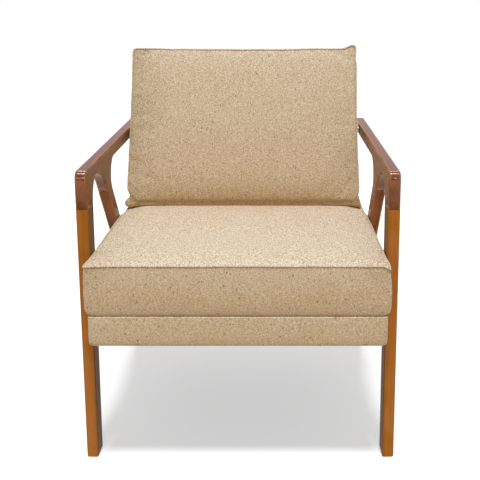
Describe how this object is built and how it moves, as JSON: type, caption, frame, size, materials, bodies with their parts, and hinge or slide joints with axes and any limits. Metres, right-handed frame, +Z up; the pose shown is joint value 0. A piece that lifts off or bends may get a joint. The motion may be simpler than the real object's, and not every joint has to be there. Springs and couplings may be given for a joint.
{
  "type": "fireside chair",
  "caption": "Low upholstered armchair: boxed seat and back cushions on a padded box, carried by two lacquered timber side frames with slanting rear legs.",
  "frame": {"origin": "on the floor, at the middle of the chair's footprint", "axes": "+X to the viewer's right when the chair is seen from the front, +Y from the front of the seat to its back, +Z up"},
  "size_m": [0.6598, 0.818, 0.8143],
  "materials": {
    "lacquered_rail_wood": "red-brown timber under gloss lacquer",
    "lacquered_leg_wood": "orange-brown timber under gloss lacquer",
    "dowel_wood": "bare beech",
    "frame_softwood": "sawn pine",
    "bolt_steel": "zinc plated",
    "elastic_webbing": "woven elastic webbing",
    "cushion_fabric": "flecked beige weave with a soft nap, over foam",
    "cover_fabric": "flecked beige weave with a soft nap, over thin foam",
    "dust_cloth": "black non-woven cloth"
  },
  "bodies": {
    "root": {"left_arm_rail": "lacquered_rail_wood", "left_front_leg": "lacquered_leg_wood", "left_rear_leg": "lacquered_leg_wood", "left_arm_plug": "lacquered_rail_wood", "left_front_dowel_1": "dowel_wood", "left_front_dowel_2": "dowel_wood", "left_rear_dowel_1": "dowel_wood", "left_rear_dowel_2": "dowel_wood", "left_front_bolt_upper": "bolt_steel", "left_front_bolt_lower": "bolt_steel", "left_rear_bolt_fore": "bolt_steel", "left_rear_bolt_aft": "bolt_steel", "left_arm_bolt": "bolt_steel", "right_arm_rail": "lacquered_rail_wood", "right_front_leg": "lacquered_leg_wood", "right_rear_leg": "lacquered_leg_wood", "right_arm_plug": "lacquered_rail_wood", "right_front_dowel_1": "dowel_wood", "right_front_dowel_2": "dowel_wood", "right_rear_dowel_1": "dowel_wood", "right_rear_dowel_2": "dowel_wood", "right_front_bolt_upper": "bolt_steel", "right_front_bolt_lower": "bolt_steel", "right_rear_bolt_fore": "bolt_steel", "right_rear_bolt_aft": "bolt_steel", "right_arm_bolt": "bolt_steel", "seat_cushion": "cushion_fabric", "seat_box_cover": "cover_fabric", "seat_front_rail": "frame_softwood", "seat_rear_rail": "frame_softwood", "seat_left_rail": "frame_softwood", "seat_right_rail": "frame_softwood", "seat_left_corner_block": "frame_softwood", "seat_right_corner_block": "frame_softwood", "seat_strap_1": "elastic_webbing", "seat_strap_2": "elastic_webbing", "seat_strap_3": "elastic_webbing", "seat_strap_4": "elastic_webbing", "seat_strap_5": "elastic_webbing", "seat_dust_cover": "dust_cloth", "back_cushion": "cushion_fabric", "back_panel_cover": "cover_fabric", "back_left_stile": "frame_softwood", "back_right_stile": "frame_softwood", "back_top_rail": "frame_softwood", "back_bottom_rail": "frame_softwood", "back_strap_1": "elastic_webbing", "back_strap_2": "elastic_webbing", "back_strap_3": "elastic_webbing", "back_strap_4": "elastic_webbing", "back_left_bolt": "bolt_steel", "back_right_bolt": "bolt_steel"}
  },
  "joints": []
}
